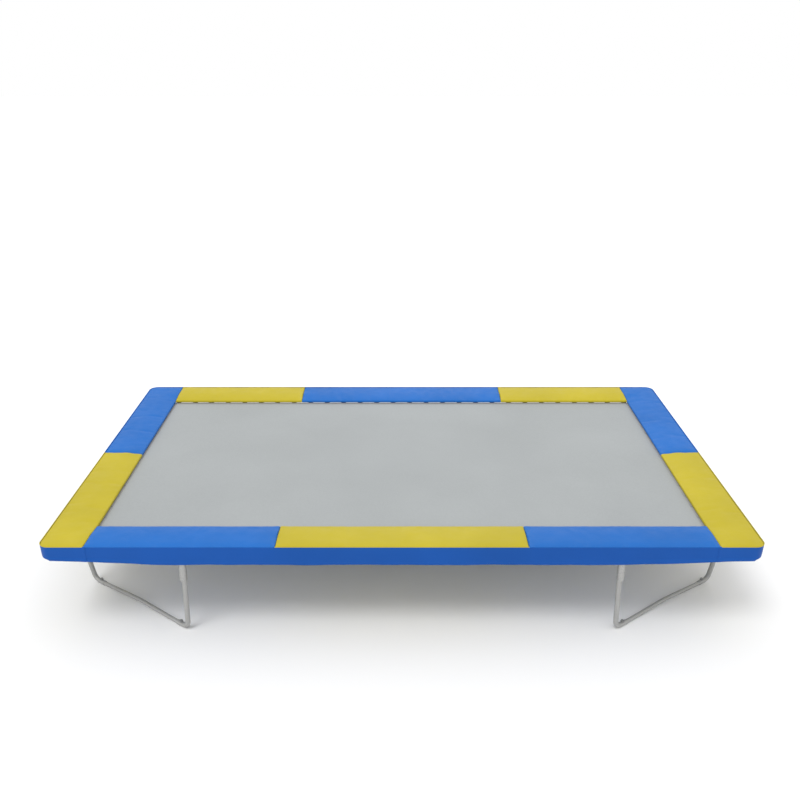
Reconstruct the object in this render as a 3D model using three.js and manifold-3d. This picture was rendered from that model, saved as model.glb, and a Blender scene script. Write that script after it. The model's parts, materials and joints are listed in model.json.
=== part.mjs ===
// A rectangular garden trampoline, about 4.6 m by 2.7 m, in millimetres.
// The origin is on the floor under the middle of the bed. +X runs along the long
// side, -Y is the front and +Z is up. The bed, springs, frame and legs are separate
// pieces, and the sewn spring cover rests on the rails.

import * as THREE from 'three';
import { mergeVertices } from 'three/addons/utils/BufferGeometryUtils.js';
import Module from 'manifold-3d';

const wasm = await Module();
wasm.setup();

// ---------- driving dimensions ----------

const TOUCH_GAP = 0.4; // left between pieces that touch
const ROUND_SIDES = 12;
const BORE_SIDES = 8;
const HEXAGON = 6; // sides
const OVERLAP = 0.5; // between solids that are joined into one
const CUT_PAST = 4; // how far a bore or a hole runs past the walls it cuts

// The rail, a ring of six straight and four bent tubes
const RAIL_LENGTH = 4572; // over the tubes
const RAIL_WIDTH = 2743;
const RAIL_Z = 600; // centre of the tubes
const RAIL_RADIUS = 21;
const RAIL_BORE = 19;
const CORNER_BEND = 100;
const CORNER_BEND_STEPS = 6;
const JOINT_X = 1132.5; // where the corner tubes end, from the middle of the bed
const JOINT_Y = 430;
const SWAGE_RADIUS = 18;
const SWAGE_BORE = 16;
const SWAGE_LENGTH = 60;
const SWAGE_SHOULDER = 8; // from the tube's end to where the bore starts to widen
const SWAGE_WIDE = 16; // and to where it is as wide as the rest

// The legs, in two directions from the rail's corner: along the rail that holds the
// near upright, and inward from it
const NEAR_SOCKET = 500;
const FAR_SOCKET = 872;
const NEAR_FOOT = [572, 71];
const FAR_FOOT = [5, 860];
const UPRIGHT_RADIUS = 16;
const UPRIGHT_BORE = 14;
const LEG_BEND = 46;
const LEG_BEND_STEPS = 5;
const STUB_END = 102; // from the sharp corner of the bend to the end of the upright
const BASE_RADIUS = 13;
const BASE_BORE = 11.5;
const BASE_START = 54; // from the same corner to the end of the base tube inside
const BASE_RISE = 17; // at the middle of the base tube
const BASE_LIFT_START = 140;
const BASE_BEND = 300;
const NEAR_SOCKET_RADIUS = 20;
const FAR_SOCKET_RADIUS = 23.5;
const FAR_SOCKET_SHIFT = 5; // of its outside toward the corner, its bore staying in line
const SOCKET_BORE = 17.1;
const SOCKET_TOP = 6; // all along the leg, down from the middle of the rail
const SOCKET_ROOF = 24;
const UPRIGHT_TOP = 26;
const SOCKET_END = 213;

// Bolts
const BOLT_SHANK = 3;
const BOLT_HOLE = 3.5;
const BOLT_REACH = 10; // how far the shank stops from the tube's middle
const RAIL_BOLT = { flange: 8.5, flangeHeight: 1.6, head: 5.8, headHeight: 5 };
const FOOT_BOLT = { flange: 12.5, flangeHeight: 3, head: 9.5, headHeight: 8 };
const FOOT_BOLT_PLACE = 67; // from the sharp corner of the bend

// The bed
const MAT_GAP = 237.7; // from the rail's centre line to the edge of the mat
const MAT_THICKNESS = 3;
const BED_Z = 604; // middle of the mat and of the springs
const LONG_SPRINGS = 28;
const SHORT_SPRINGS = 15;
const FIRST_SPRING = 279; // from the rail's centre line round the corner
const COIL_RADIUS = 11;
const COIL_START = 36; // from the rail's centre line
const COIL_LENGTH = 152;
const HOOK_SIZE = 5;
const RING_STRIP = 12; // width of the strip of rings along the mat
const RING_THICKNESS = 4;
const RING_MARGIN = 25; // strip beyond the last spring

// The spring cover
const COVER_OVERHANG = 12; // beyond the outside of the rail
const COVER_WIDTH = 290;
const COVER_THICKNESS = 30;
const COVER_CORNER = 70;
const FRONT_SEAM = 800; // from the middle to the seams between the colours
const BACK_SEAM = 885;
const SKIRT_THICKNESS = 4;
const SKIRT_BOTTOM = 516;
const ARC_STEPS = 5;

// ---------- derived sizes ----------

const HALF_X = RAIL_LENGTH / 2 - RAIL_RADIUS; // the rail's centre line
const HALF_Y = RAIL_WIDTH / 2 - RAIL_RADIUS;
const COVER_X = RAIL_LENGTH / 2 + COVER_OVERHANG;
const COVER_Y = RAIL_WIDTH / 2 + COVER_OVERHANG;
const COVER_BOTTOM = RAIL_Z + RAIL_RADIUS + TOUCH_GAP;
const COVER_TOP = COVER_BOTTOM + COVER_THICKNESS;

const UP = new THREE.Vector3(0, 0, 1);
const point = (x, y, z) => new THREE.Vector3(x, y, z);

// ---------- materials ----------

const steel = (color, roughness) =>
  new THREE.MeshStandardMaterial({ color, roughness, metalness: 0.8 });
const cloth = (color, roughness) =>
  new THREE.MeshStandardMaterial({ color, roughness, metalness: 0 });

const RAIL_STEEL = steel(0xc4c6c8, 0.35);
const LEG_STEEL = steel(0xacacab, 0.45);
const BOLT_STEEL = steel(0x85888a, 0.5);
const SPRING_STEEL = steel(0xcfcdc8, 0.35);
const MAT_CLOTH = cloth(0xb2b8ba, 0.85);
const BLUE_VINYL = cloth(0x3e7cd2, 0.5);
const YELLOW_VINYL = cloth(0xd4c34b, 0.5);
const SKIRT_VINYL = cloth(0x2656a0, 0.5);

// ---------- shapes ----------

// A regular polygon whose flats touch a circle of this radius and face the axes
function roundOutline(radius, sides) {
  const corner = radius / Math.cos(Math.PI / sides);
  const points = [];
  for (let i = 0; i < sides; i += 1) {
    const angle = (2 * Math.PI * (i + 0.5)) / sides;
    points.push(new THREE.Vector2(corner * Math.cos(angle), corner * Math.sin(angle)));
  }
  return points;
}

// A path that is visited at its stations only, each with a section square to its
// tangent and turned so that one flat faces along side
class StationPath extends THREE.Curve {
  constructor(stations, side) {
    super();
    this.stations = stations;
    this.side = side;
  }

  station(t) {
    return this.stations[Math.round(t * (this.stations.length - 1))];
  }

  getPoint(t) {
    return this.station(t).point.clone();
  }

  getUtoTmapping(u) {
    return u;
  }

  computeFrenetFrames() {
    const tangents = this.stations.map((s) => s.tangent);
    const binormals = tangents.map((t) =>
      this.side.clone().addScaledVector(t, -this.side.dot(t)).normalize(),
    );
    const normals = tangents.map((t, i) => binormals[i].clone().cross(t));
    return { tangents, normals, binormals };
  }
}

const direction = (from, to) => to.clone().sub(from).normalize();

// The stations of a line through these corners, each corner rounded to an arc
function bentLine(corners, bend, bendSteps) {
  const last = corners.length - 1;
  const stations = [{ point: corners[0], tangent: direction(corners[0], corners[1]) }];
  for (let i = 1; i < last; i += 1) {
    const before = direction(corners[i - 1], corners[i]);
    const after = direction(corners[i], corners[i + 1]);
    const turn = before.angleTo(after);
    const inward = after.clone().addScaledVector(before, -Math.cos(turn)).normalize();
    const start = corners[i].clone().addScaledVector(before, -bend * Math.tan(turn / 2));
    for (let step = 0; step <= bendSteps; step += 1) {
      const angle = (turn * step) / bendSteps;
      const place = start
        .clone()
        .addScaledVector(before, bend * Math.sin(angle))
        .addScaledVector(inward, bend * (1 - Math.cos(angle)));
      const tangent = before
        .clone()
        .multiplyScalar(Math.cos(angle))
        .addScaledVector(inward, Math.sin(angle));
      stations.push({ point: place, tangent });
    }
  }
  stations.push({
    point: corners[last],
    tangent: direction(corners[last - 1], corners[last]),
  });
  return stations;
}

// A rod along the stations, or a tube where a bore is given
function sweep(stations, side, radius, bore = 0) {
  const section = new THREE.Shape(roundOutline(radius, ROUND_SIDES));
  if (bore > 0) section.holes.push(new THREE.Path(roundOutline(bore, BORE_SIDES)));
  return new THREE.ExtrudeGeometry(section, {
    steps: stations.length - 1,
    extrudePath: new StationPath(stations, side),
  });
}

// The same line, running past both of its ends
function lengthened(corners) {
  const last = corners.length - 1;
  const longer = corners.map((c) => c.clone());
  longer[0].addScaledVector(direction(corners[1], corners[0]), CUT_PAST);
  longer[last].addScaledVector(direction(corners[last - 1], corners[last]), CUT_PAST);
  return longer;
}

// A round bar that runs between two distances from a point, along an axis
function bar(origin, axis, from, to, radius, sides) {
  const corner = radius / Math.cos(Math.PI / sides);
  const geometry = new THREE.CylinderGeometry(
    corner, corner, to - from, sides, 1, false, Math.PI / sides,
  );
  const turn = new THREE.Quaternion().setFromUnitVectors(point(0, 1, 0), axis);
  const middle = origin.clone().addScaledVector(axis, (from + to) / 2);
  geometry.applyQuaternion(turn);
  geometry.translate(middle.x, middle.y, middle.z);
  return geometry;
}

function solidOf(geometry) {
  const plain = geometry.clone();
  plain.deleteAttribute('normal');
  plain.deleteAttribute('uv');
  const merged = mergeVertices(plain, 1e-3);
  return new wasm.Manifold(
    new wasm.Mesh({
      numProp: 3,
      vertProperties: Float32Array.from(merged.attributes.position.array),
      triVerts: Uint32Array.from(merged.index.array),
    }),
  );
}

function geometryOf(solid) {
  const mesh = solid.getMesh();
  const geometry = new THREE.BufferGeometry();
  geometry.setAttribute('position', new THREE.BufferAttribute(mesh.vertProperties, 3));
  geometry.setIndex(new THREE.BufferAttribute(mesh.triVerts, 1));
  geometry.computeVertexNormals();
  return geometry;
}

const joined = (shapes) => shapes.map(solidOf).reduce((all, one) => all.add(one));

// The points of an arc in the plan, its ends included
function arc(x, y, radius, from, to) {
  const points = [];
  for (let i = 0; i <= ARC_STEPS; i += 1) {
    const angle = from + ((to - from) * i) / ARC_STEPS;
    points.push([x + radius * Math.cos(angle), y + radius * Math.sin(angle)]);
  }
  return points;
}

// An upright solid with this plan, between two heights
function raised(plan, bottom, top) {
  const outline = new THREE.Shape(plan.map(([x, y]) => new THREE.Vector2(x, y)));
  const geometry = new THREE.ExtrudeGeometry(outline, {
    depth: top - bottom,
    bevelEnabled: false,
  });
  geometry.translate(0, 0, bottom);
  return geometry;
}

// ---------- the assembly ----------

const trampoline = new THREE.Group();

function add(name, geometry, material) {
  const mesh = new THREE.Mesh(geometry, material);
  mesh.name = name;
  trampoline.add(mesh);
}

const CORNERS = [
  { name: 'front_left', x: -1, y: -1 },
  { name: 'front_right', x: 1, y: -1 },
  { name: 'back_left', x: -1, y: 1 },
  { name: 'back_right', x: 1, y: 1 },
];

// ---------- bolts ----------

// The hole for a bolt through one wall of a tube
const boltHole = (middle, outward, surface) =>
  solidOf(
    bar(middle, outward, BOLT_REACH - CUT_PAST, surface + CUT_PAST, BOLT_HOLE, HEXAGON),
  );

// A flanged hexagon bolt that stands on a tube of this radius
function bolt(middle, outward, surface, size) {
  const seat = surface + TOUCH_GAP;
  const flangeTop = seat + size.flangeHeight;
  const headTop = flangeTop + size.headHeight;
  return geometryOf(
    joined([
      bar(middle, outward, BOLT_REACH, seat + OVERLAP, BOLT_SHANK, HEXAGON),
      bar(middle, outward, seat, flangeTop, size.flange, ROUND_SIDES),
      bar(middle, outward, flangeTop - OVERLAP, headTop, size.head, HEXAGON),
    ]),
  );
}

// Where the rail's bolts go: the side joints are bolted from outside, the long
// rails' joints from below
const swageMiddle = SWAGE_LENGTH / 2;
const railBolts = [];
for (const [end, y] of [['front', -1], ['back', 1]]) {
  for (const [place, x] of [
    ['left', -JOINT_X - swageMiddle],
    ['middle', -swageMiddle],
    ['right', JOINT_X + swageMiddle],
  ]) {
    railBolts.push({
      name: `rail_bolt_${end}_${place}`,
      middle: point(x, y * HALF_Y, RAIL_Z),
      outward: point(0, 0, -1),
    });
  }
}
for (const corner of CORNERS) {
  railBolts.push({
    name: `rail_bolt_side_${corner.name}`,
    middle: point(corner.x * HALF_X, corner.y * (JOINT_Y + swageMiddle), RAIL_Z),
    outward: point(corner.x, 0, 0),
  });
}

function drilledForBolts(solid) {
  return railBolts.reduce(
    (rest, b) => rest.subtract(boltHole(b.middle, b.outward, RAIL_RADIUS)),
    solid,
  );
}

for (const b of railBolts) {
  add(b.name, bolt(b.middle, b.outward, RAIL_RADIUS, RAIL_BOLT), BOLT_STEEL);
}

// ---------- legs ----------

// A point of the leg at a corner, from its distance along the near upright's rail and
// inward from it. The near upright is on the short rail at the front, and on the long
// rail at the back.
function legPoint(corner, along, inward, z) {
  const onShortRail = corner.y < 0;
  const [fromX, fromY] = onShortRail ? [inward, along] : [along, inward];
  return point(corner.x * (HALF_X - fromX), corner.y * (HALF_Y - fromY), z);
}

function legLayout(corner) {
  const near = {
    top: legPoint(corner, NEAR_SOCKET, 0, RAIL_Z),
    foot: legPoint(corner, NEAR_FOOT[0], NEAR_FOOT[1], UPRIGHT_RADIUS),
    socketTop: legPoint(corner, NEAR_SOCKET, 0, RAIL_Z),
    socketRadius: NEAR_SOCKET_RADIUS,
  };
  const far = {
    top: legPoint(corner, 0, FAR_SOCKET, RAIL_Z),
    foot: legPoint(corner, FAR_FOOT[0], FAR_FOOT[1], UPRIGHT_RADIUS),
    socketTop: legPoint(corner, 0, FAR_SOCKET - FAR_SOCKET_SHIFT, RAIL_Z),
    socketRadius: FAR_SOCKET_RADIUS,
  };
  const side = direction(near.foot, far.foot).cross(UP);
  return { near, far, side };
}

const footBoltPlace = (upright, other) =>
  upright.foot.clone().addScaledVector(direction(upright.foot, other.foot), FOOT_BOLT_PLACE);

// An upright, bent at the foot into the stub that holds the base tube
function upright(self, other, side) {
  const down = direction(self.top, self.foot);
  const inward = direction(self.foot, other.foot);
  const corners = [
    self.top.clone().addScaledVector(down, UPRIGHT_TOP),
    self.foot,
    self.foot.clone().addScaledVector(inward, STUB_END),
  ];
  const line = bentLine(corners, LEG_BEND, LEG_BEND_STEPS);
  const tube = solidOf(sweep(line, side, UPRIGHT_RADIUS, UPRIGHT_BORE));
  const hole = boltHole(footBoltPlace(self, other), UP, UPRIGHT_RADIUS);
  return geometryOf(tube.subtract(hole));
}

// The base tube between the two stubs, lifted a little at its middle
function baseTube(near, far, side) {
  const along = direction(near.foot, far.foot);
  const middle = near.foot.clone().add(far.foot).multiplyScalar(0.5);
  middle.z += BASE_RISE;
  const corners = [
    near.foot.clone().addScaledVector(along, BASE_START),
    near.foot.clone().addScaledVector(along, BASE_LIFT_START),
    middle,
    far.foot.clone().addScaledVector(along, -BASE_LIFT_START),
    far.foot.clone().addScaledVector(along, -BASE_START),
  ];
  const tube = solidOf(sweep(bentLine(corners, BASE_BEND, 1), side, BASE_RADIUS, BASE_BORE));
  return geometryOf(
    tube
      .subtract(boltHole(footBoltPlace(near, far), UP, BASE_RADIUS))
      .subtract(boltHole(footBoltPlace(far, near), UP, BASE_RADIUS)),
  );
}

for (const corner of CORNERS) {
  const { near, far, side } = legLayout(corner);
  for (const [which, self, other] of [['near', near, far], ['far', far, near]]) {
    add(`leg_${which}_upright_${corner.name}`, upright(self, other, side), LEG_STEEL);
    add(
      `foot_bolt_${which}_${corner.name}`,
      bolt(footBoltPlace(self, other), UP, UPRIGHT_RADIUS, FOOT_BOLT),
      BOLT_STEEL,
    );
  }
  add(`leg_base_${corner.name}`, baseTube(near, far, side), LEG_STEEL);
}

// ---------- rail ----------

// A corner tube, with the two leg sockets that are welded under it
function cornerRail(corner) {
  const corners = [
    point(corner.x * JOINT_X, corner.y * HALF_Y, RAIL_Z),
    point(corner.x * HALF_X, corner.y * HALF_Y, RAIL_Z),
    point(corner.x * HALF_X, corner.y * JOINT_Y, RAIL_Z),
  ];
  const { near, far } = legLayout(corner);
  const sockets = [near, far].map((u) => ({ ...u, down: direction(u.top, u.foot) }));
  const outside = joined([
    sweep(bentLine(corners, CORNER_BEND, CORNER_BEND_STEPS), UP, RAIL_RADIUS),
    ...sockets.map(({ socketTop, down, socketRadius }) =>
      bar(socketTop, down, SOCKET_TOP, SOCKET_END, socketRadius, ROUND_SIDES)),
  ]);
  const inside = joined([
    sweep(bentLine(lengthened(corners), CORNER_BEND, CORNER_BEND_STEPS), UP, RAIL_BORE),
    ...sockets.map(({ top, down }) =>
      bar(top, down, SOCKET_ROOF, SOCKET_END + CUT_PAST, SOCKET_BORE, ROUND_SIDES)),
  ]);
  return geometryOf(drilledForBolts(outside.subtract(inside)));
}

// A straight tube from start to end. Either end may be swaged to enter its neighbour,
// and the swage runs on past the given end.
function straightRail(start, end, swagedStart, swagedEnd) {
  const length = start.distanceTo(end) - 2 * TOUCH_GAP;
  const outside = [];
  const inside = [];
  if (swagedStart) {
    outside.push([SWAGE_RADIUS, -SWAGE_LENGTH], [SWAGE_RADIUS, 0]);
    inside.push([SWAGE_BORE, -SWAGE_LENGTH], [SWAGE_BORE, SWAGE_SHOULDER]);
  }
  outside.push([RAIL_RADIUS, 0], [RAIL_RADIUS, length]);
  inside.push(
    [RAIL_BORE, swagedStart ? SWAGE_WIDE : 0],
    [RAIL_BORE, swagedEnd ? length - SWAGE_WIDE : length],
  );
  if (swagedEnd) {
    outside.push([SWAGE_RADIUS, length], [SWAGE_RADIUS, length + SWAGE_LENGTH]);
    inside.push([SWAGE_BORE, length - SWAGE_SHOULDER], [SWAGE_BORE, length + SWAGE_LENGTH]);
  }
  const profile = [...outside, ...inside.reverse()];
  profile.push(profile[0]);
  const scale = 1 / Math.cos(Math.PI / ROUND_SIDES);
  const geometry = new THREE.LatheGeometry(
    profile.map(([radius, along]) => new THREE.Vector2(radius * scale, along)),
    ROUND_SIDES,
    Math.PI / ROUND_SIDES,
  );
  const axis = direction(start, end);
  geometry.applyQuaternion(new THREE.Quaternion().setFromUnitVectors(point(0, 1, 0), axis));
  const origin = start.clone().addScaledVector(axis, TOUCH_GAP);
  geometry.translate(origin.x, origin.y, origin.z);
  return geometryOf(drilledForBolts(solidOf(geometry)));
}

for (const corner of CORNERS) {
  add(`rail_corner_${corner.name}`, cornerRail(corner), RAIL_STEEL);
}
for (const [end, sign] of [['front', -1], ['back', 1]]) {
  const at = (x) => point(x, sign * HALF_Y, RAIL_Z);
  add(`rail_${end}_left`, straightRail(at(-JOINT_X), at(0), true, false), RAIL_STEEL);
  add(`rail_${end}_right`, straightRail(at(0), at(JOINT_X), true, true), RAIL_STEEL);
}
for (const [name, sign] of [['left', -1], ['right', 1]]) {
  const at = (y) => point(sign * HALF_X, y, RAIL_Z);
  add(`rail_side_${name}`, straightRail(at(-JOINT_Y), at(JOINT_Y), true, true), RAIL_STEEL);
}

// ---------- bed ----------

const mat = new THREE.BoxGeometry(
  2 * (HALF_X - MAT_GAP),
  2 * (HALF_Y - MAT_GAP),
  MAT_THICKNESS,
);
mat.translate(0, 0, BED_Z);
add('jump_mat', mat, MAT_CLOTH);

// A row of springs beside one rail, built along +X with the rail at y = 0 and the mat
// at y = MAT_GAP: each spring's coil and hooks, and the strip of rings that joins them
function springRow(count, halfRail) {
  const firstAt = halfRail - FIRST_SPRING;
  const pitch = (2 * firstAt) / (count - 1);
  const inward = point(0, 1, 0);
  const ringEdge = MAT_GAP - TOUCH_GAP;
  const strip = new THREE.BoxGeometry(
    2 * (firstAt + RING_MARGIN), RING_STRIP, RING_THICKNESS,
  );
  strip.translate(0, ringEdge - RING_STRIP / 2, 0);
  const shapes = [strip];
  for (let i = 0; i < count; i += 1) {
    const x = -firstAt + i * pitch;
    const hookStart = RAIL_RADIUS + TOUCH_GAP;
    const hookEnd = ringEdge - RING_STRIP / 2;
    const hook = new THREE.BoxGeometry(HOOK_SIZE, hookEnd - hookStart, HOOK_SIZE);
    hook.translate(x, (hookStart + hookEnd) / 2, 0);
    shapes.push(hook);
    const coilEnd = COIL_START + COIL_LENGTH;
    shapes.push(bar(point(x, 0, 0), inward, COIL_START, coilEnd, COIL_RADIUS, HEXAGON));
  }
  return geometryOf(joined(shapes));
}

function addSprings(name, count, halfRail, distance, turn) {
  const row = springRow(count, halfRail);
  row.translate(0, -distance, BED_Z);
  row.rotateZ(turn);
  add(name, row, SPRING_STEEL);
}

addSprings('springs_front', LONG_SPRINGS, HALF_X, HALF_Y, 0);
addSprings('springs_back', LONG_SPRINGS, HALF_X, HALF_Y, Math.PI);
addSprings('springs_left', SHORT_SPRINGS, HALF_Y, HALF_X, -Math.PI / 2);
addSprings('springs_right', SHORT_SPRINGS, HALF_Y, HALF_X, Math.PI / 2);

// ---------- spring cover ----------

const slabX = COVER_X - SKIRT_THICKNESS - TOUCH_GAP; // outer edges of the padded slabs
const slabY = COVER_Y - SKIRT_THICKNESS - TOUCH_GAP;
const slabCorner = COVER_CORNER - SKIRT_THICKNESS - TOUCH_GAP;
const innerX = COVER_X - COVER_WIDTH;
const innerY = COVER_Y - COVER_WIDTH;

// Half of a side strip, with the rounded corner of the cover at its outer end
function sideSlab(signX, signY) {
  const plan = [
    [innerX, TOUCH_GAP / 2],
    [slabX, TOUCH_GAP / 2],
    ...arc(slabX - slabCorner, slabY - slabCorner, slabCorner, 0, Math.PI / 2),
    [innerX, slabY],
  ];
  return raised(plan.map(([x, y]) => [signX * x, signY * y]), COVER_BOTTOM, COVER_TOP);
}

// A slab of the front or back strip, between two seams
function stripSlab(from, to, signY) {
  const plan = [
    [from + TOUCH_GAP / 2, innerY],
    [to - TOUCH_GAP / 2, innerY],
    [to - TOUCH_GAP / 2, slabY],
    [from + TOUCH_GAP / 2, slabY],
  ];
  return raised(plan.map(([x, y]) => [x, signY * y]), COVER_BOTTOM, COVER_TOP);
}

// The skirt round one short side, with its two returns along the long sides
function sideSkirt(signX) {
  const centreX = COVER_X - COVER_CORNER;
  const centreY = COVER_Y - COVER_CORNER;
  const returnEnd = innerX + TOUCH_GAP / 2;
  const innerCorner = COVER_CORNER - SKIRT_THICKNESS;
  const plan = [
    [returnEnd, -COVER_Y],
    ...arc(centreX, -centreY, COVER_CORNER, -Math.PI / 2, 0),
    ...arc(centreX, centreY, COVER_CORNER, 0, Math.PI / 2),
    [returnEnd, COVER_Y],
    [returnEnd, COVER_Y - SKIRT_THICKNESS],
    ...arc(centreX, centreY, innerCorner, Math.PI / 2, 0),
    ...arc(centreX, -centreY, innerCorner, 0, -Math.PI / 2),
    [returnEnd, -COVER_Y + SKIRT_THICKNESS],
  ];
  return raised(plan.map(([x, y]) => [signX * x, y]), SKIRT_BOTTOM, COVER_TOP);
}

// The straight skirt along one long side, between the two returns
function longSkirt(signY) {
  const skirt = new THREE.BoxGeometry(
    2 * innerX - TOUCH_GAP,
    SKIRT_THICKNESS,
    COVER_TOP - SKIRT_BOTTOM,
  );
  skirt.translate(0, signY * (COVER_Y - SKIRT_THICKNESS / 2), (COVER_TOP + SKIRT_BOTTOM) / 2);
  return skirt;
}

for (const [name, sign, seam, outer, middle] of [
  ['front', -1, FRONT_SEAM, BLUE_VINYL, YELLOW_VINYL],
  ['back', 1, BACK_SEAM, YELLOW_VINYL, BLUE_VINYL],
]) {
  add(`cover_${name}_left`, stripSlab(-innerX, -seam, sign), outer);
  add(`cover_${name}_middle`, stripSlab(-seam, seam, sign), middle);
  add(`cover_${name}_right`, stripSlab(seam, innerX, sign), outer);
  add(`skirt_${name}`, longSkirt(sign), SKIRT_VINYL);
}
for (const [name, sign] of [['left', -1], ['right', 1]]) {
  add(`cover_${name}_front`, sideSlab(sign, -1), YELLOW_VINYL);
  add(`cover_${name}_back`, sideSlab(sign, 1), BLUE_VINYL);
  add(`skirt_${name}`, sideSkirt(sign), SKIRT_VINYL);
}

export default trampoline;
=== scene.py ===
"""The looks of a rectangular garden trampoline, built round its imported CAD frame.

The rails, legs and bolts are the CAD parts with their own materials. The springs, the
mat and the padded cover with its skirt are made here and stand for the plain CAD solids.
Lengths are in metres, in the frame's own axes: +X along the long side, -Y the front.
"""

import json
import math

import bmesh
import bpy
import numpy as np
from mathutils import Matrix, Quaternion, Vector
from mathutils.bvhtree import BVHTree


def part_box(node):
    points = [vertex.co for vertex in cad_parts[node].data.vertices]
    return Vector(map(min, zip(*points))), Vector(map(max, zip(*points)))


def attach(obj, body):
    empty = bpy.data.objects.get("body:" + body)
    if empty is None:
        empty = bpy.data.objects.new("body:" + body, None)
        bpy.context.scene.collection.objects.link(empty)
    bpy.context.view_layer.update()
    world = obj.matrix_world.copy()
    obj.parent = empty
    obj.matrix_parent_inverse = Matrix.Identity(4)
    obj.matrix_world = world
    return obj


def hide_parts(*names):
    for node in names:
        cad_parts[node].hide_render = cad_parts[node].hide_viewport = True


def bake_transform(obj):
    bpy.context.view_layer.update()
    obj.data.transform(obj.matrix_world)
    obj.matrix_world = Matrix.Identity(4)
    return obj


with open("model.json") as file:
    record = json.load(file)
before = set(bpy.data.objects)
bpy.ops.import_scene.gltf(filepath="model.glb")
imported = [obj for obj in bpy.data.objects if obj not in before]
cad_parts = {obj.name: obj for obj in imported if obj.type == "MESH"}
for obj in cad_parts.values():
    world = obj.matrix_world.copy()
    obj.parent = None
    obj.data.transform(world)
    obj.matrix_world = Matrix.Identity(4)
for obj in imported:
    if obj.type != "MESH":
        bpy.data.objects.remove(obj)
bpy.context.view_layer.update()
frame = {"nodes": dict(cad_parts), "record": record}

# ---------- places, read from the frame ----------

rail_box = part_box("rail_front_left")
side_rail_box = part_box("rail_side_right")
mat_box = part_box("jump_mat")
skirt_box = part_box("skirt_right")
slab_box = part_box("cover_front_middle")
side_slab_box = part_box("cover_right_front")

RAIL_Y = -(rail_box[0].y + rail_box[1].y) / 2  # the rail's centre lines
RAIL_X = (side_rail_box[0].x + side_rail_box[1].x) / 2
RAIL_Z = (rail_box[0].z + rail_box[1].z) / 2
RAIL_RADIUS = (rail_box[1].z - rail_box[0].z) / 2
MAT_X, MAT_Y = mat_box[1].x, mat_box[1].y
MAT_Z = (mat_box[0].z + mat_box[1].z) / 2
MAT_GAP = RAIL_Y - MAT_Y  # from the rail's centre line to the mat
COVER_X, COVER_Y = skirt_box[1].x, skirt_box[1].y
COVER_TOP, COVER_BOTTOM = slab_box[1].z, slab_box[0].z
SKIRT_BOTTOM = skirt_box[0].z
INNER_X = side_slab_box[0].x  # the cover's inner edges
INNER_Y = -slab_box[1].y
FRONT_SEAM = slab_box[1].x
BACK_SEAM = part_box("cover_back_middle")[1].x


def placed(name, data):
    """A new object in the scene."""
    made = bpy.data.objects.new(name, data)
    bpy.context.scene.collection.objects.link(made)
    return made


# ---------- camera ----------

EYE = Vector((-0.0122, -6.1349, 3.5789))
EYE_PITCH = math.radians(22.14)  # below the horizon, looking along +Y
EYE_LENS = 39.49  # mm, as is the sensor's width
SENSOR_WIDTH = 36.0

camera_data = bpy.data.cameras.new("camera")
camera_data.sensor_width = SENSOR_WIDTH
camera_data.lens = EYE_LENS
camera_data.clip_end = 200.0
camera = placed("camera", camera_data)
camera.location = EYE
camera.rotation_euler = (math.radians(90) - EYE_PITCH, 0, 0)
bpy.context.scene.camera = camera

# ---------- mesh helpers ----------


class Shape:
    """Vertices and faces, gathered before they become one object."""

    def __init__(self):
        self.points = []
        self.faces = []

    def add(self, points, faces):
        start = len(self.points)
        self.points.extend(tuple(p) for p in points)
        self.faces.extend(tuple(start + i for i in face) for face in faces)

    def grid(self, rows, closed_rows=False, closed_columns=False):
        """A skin over rows of points, all of one length."""
        count = len(rows[0])
        points = [p for row in rows for p in row]
        faces = []
        for i in range(len(rows) if closed_rows else len(rows) - 1):
            for j in range(count if closed_columns else count - 1):
                a, b = i * count, (i + 1) % len(rows) * count
                k = (j + 1) % count
                faces.append((a + j, b + j, b + k, a + k))
        self.add(points, faces)

    def object(self, name, material, smooth=True):
        mesh = bpy.data.meshes.new(name)
        mesh.from_pydata(self.points, [], self.faces)
        mesh.polygons.foreach_set("use_smooth", [smooth] * len(mesh.polygons))
        mesh.materials.append(material)
        return placed(name, mesh)


def smooth_by_angle(piece, degrees):
    """Smooth shading, with edges kept sharp where the faces turn more than this."""
    piece.data.polygons.foreach_set("use_smooth", [True] * len(piece.data.polygons))
    split = piece.modifiers.new("sharp edges", "EDGE_SPLIT")
    split.split_angle = math.radians(degrees)


def recalculated(piece):
    """The same piece with its faces turned to point out."""
    work = bmesh.new()
    work.from_mesh(piece.data)
    bmesh.ops.recalc_face_normals(work, faces=work.faces)
    work.to_mesh(piece.data)
    work.free()
    return piece


def two_skins(high, wide):
    """The faces of two skins of high by wide points, the second one turned over, and
    the points round the first one's rim."""
    count = high * wide
    faces = []
    for i in range(high - 1):
        for j in range(wide - 1):
            k = i * wide + j
            face = (k, k + 1, k + wide + 1, k + wide)
            faces += [face, tuple(count + n for n in reversed(face))]
    rim = list(range(wide))
    rim += [i * wide + wide - 1 for i in range(1, high)]
    rim += [(high - 1) * wide + j for j in range(wide - 2, -1, -1)]
    rim += [i * wide for i in range(high - 2, 0, -1)]
    return faces, rim


def thin_shell(rows, thickness):
    """A closed sheet round this grid of points, as thick as each row is said to be."""
    middle = np.array(rows)
    normal = np.cross(np.gradient(middle, axis=1), np.gradient(middle, axis=0))
    normal /= np.linalg.norm(normal, axis=2, keepdims=True)
    half = np.array(thickness).reshape(-1, 1, 1) / 2
    sides = np.concatenate([middle + normal * half, middle - normal * half])
    high, wide = middle.shape[:2]
    count = high * wide
    faces, rim = two_skins(high, wide)
    for here, after in zip(rim, rim[1:] + rim[:1]):
        faces.append((after, here, count + here, count + after))
    shape = Shape()
    shape.add(sides.reshape(-1, 3).tolist(), faces)
    return shape


SQUARE = [(-1, -1), (1, -1), (1, 1), (-1, 1)]  # a square's corners, going round


def angles(count):
    """This many angles, evenly round a circle."""
    return [2 * math.pi * k / count for k in range(count)]


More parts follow.
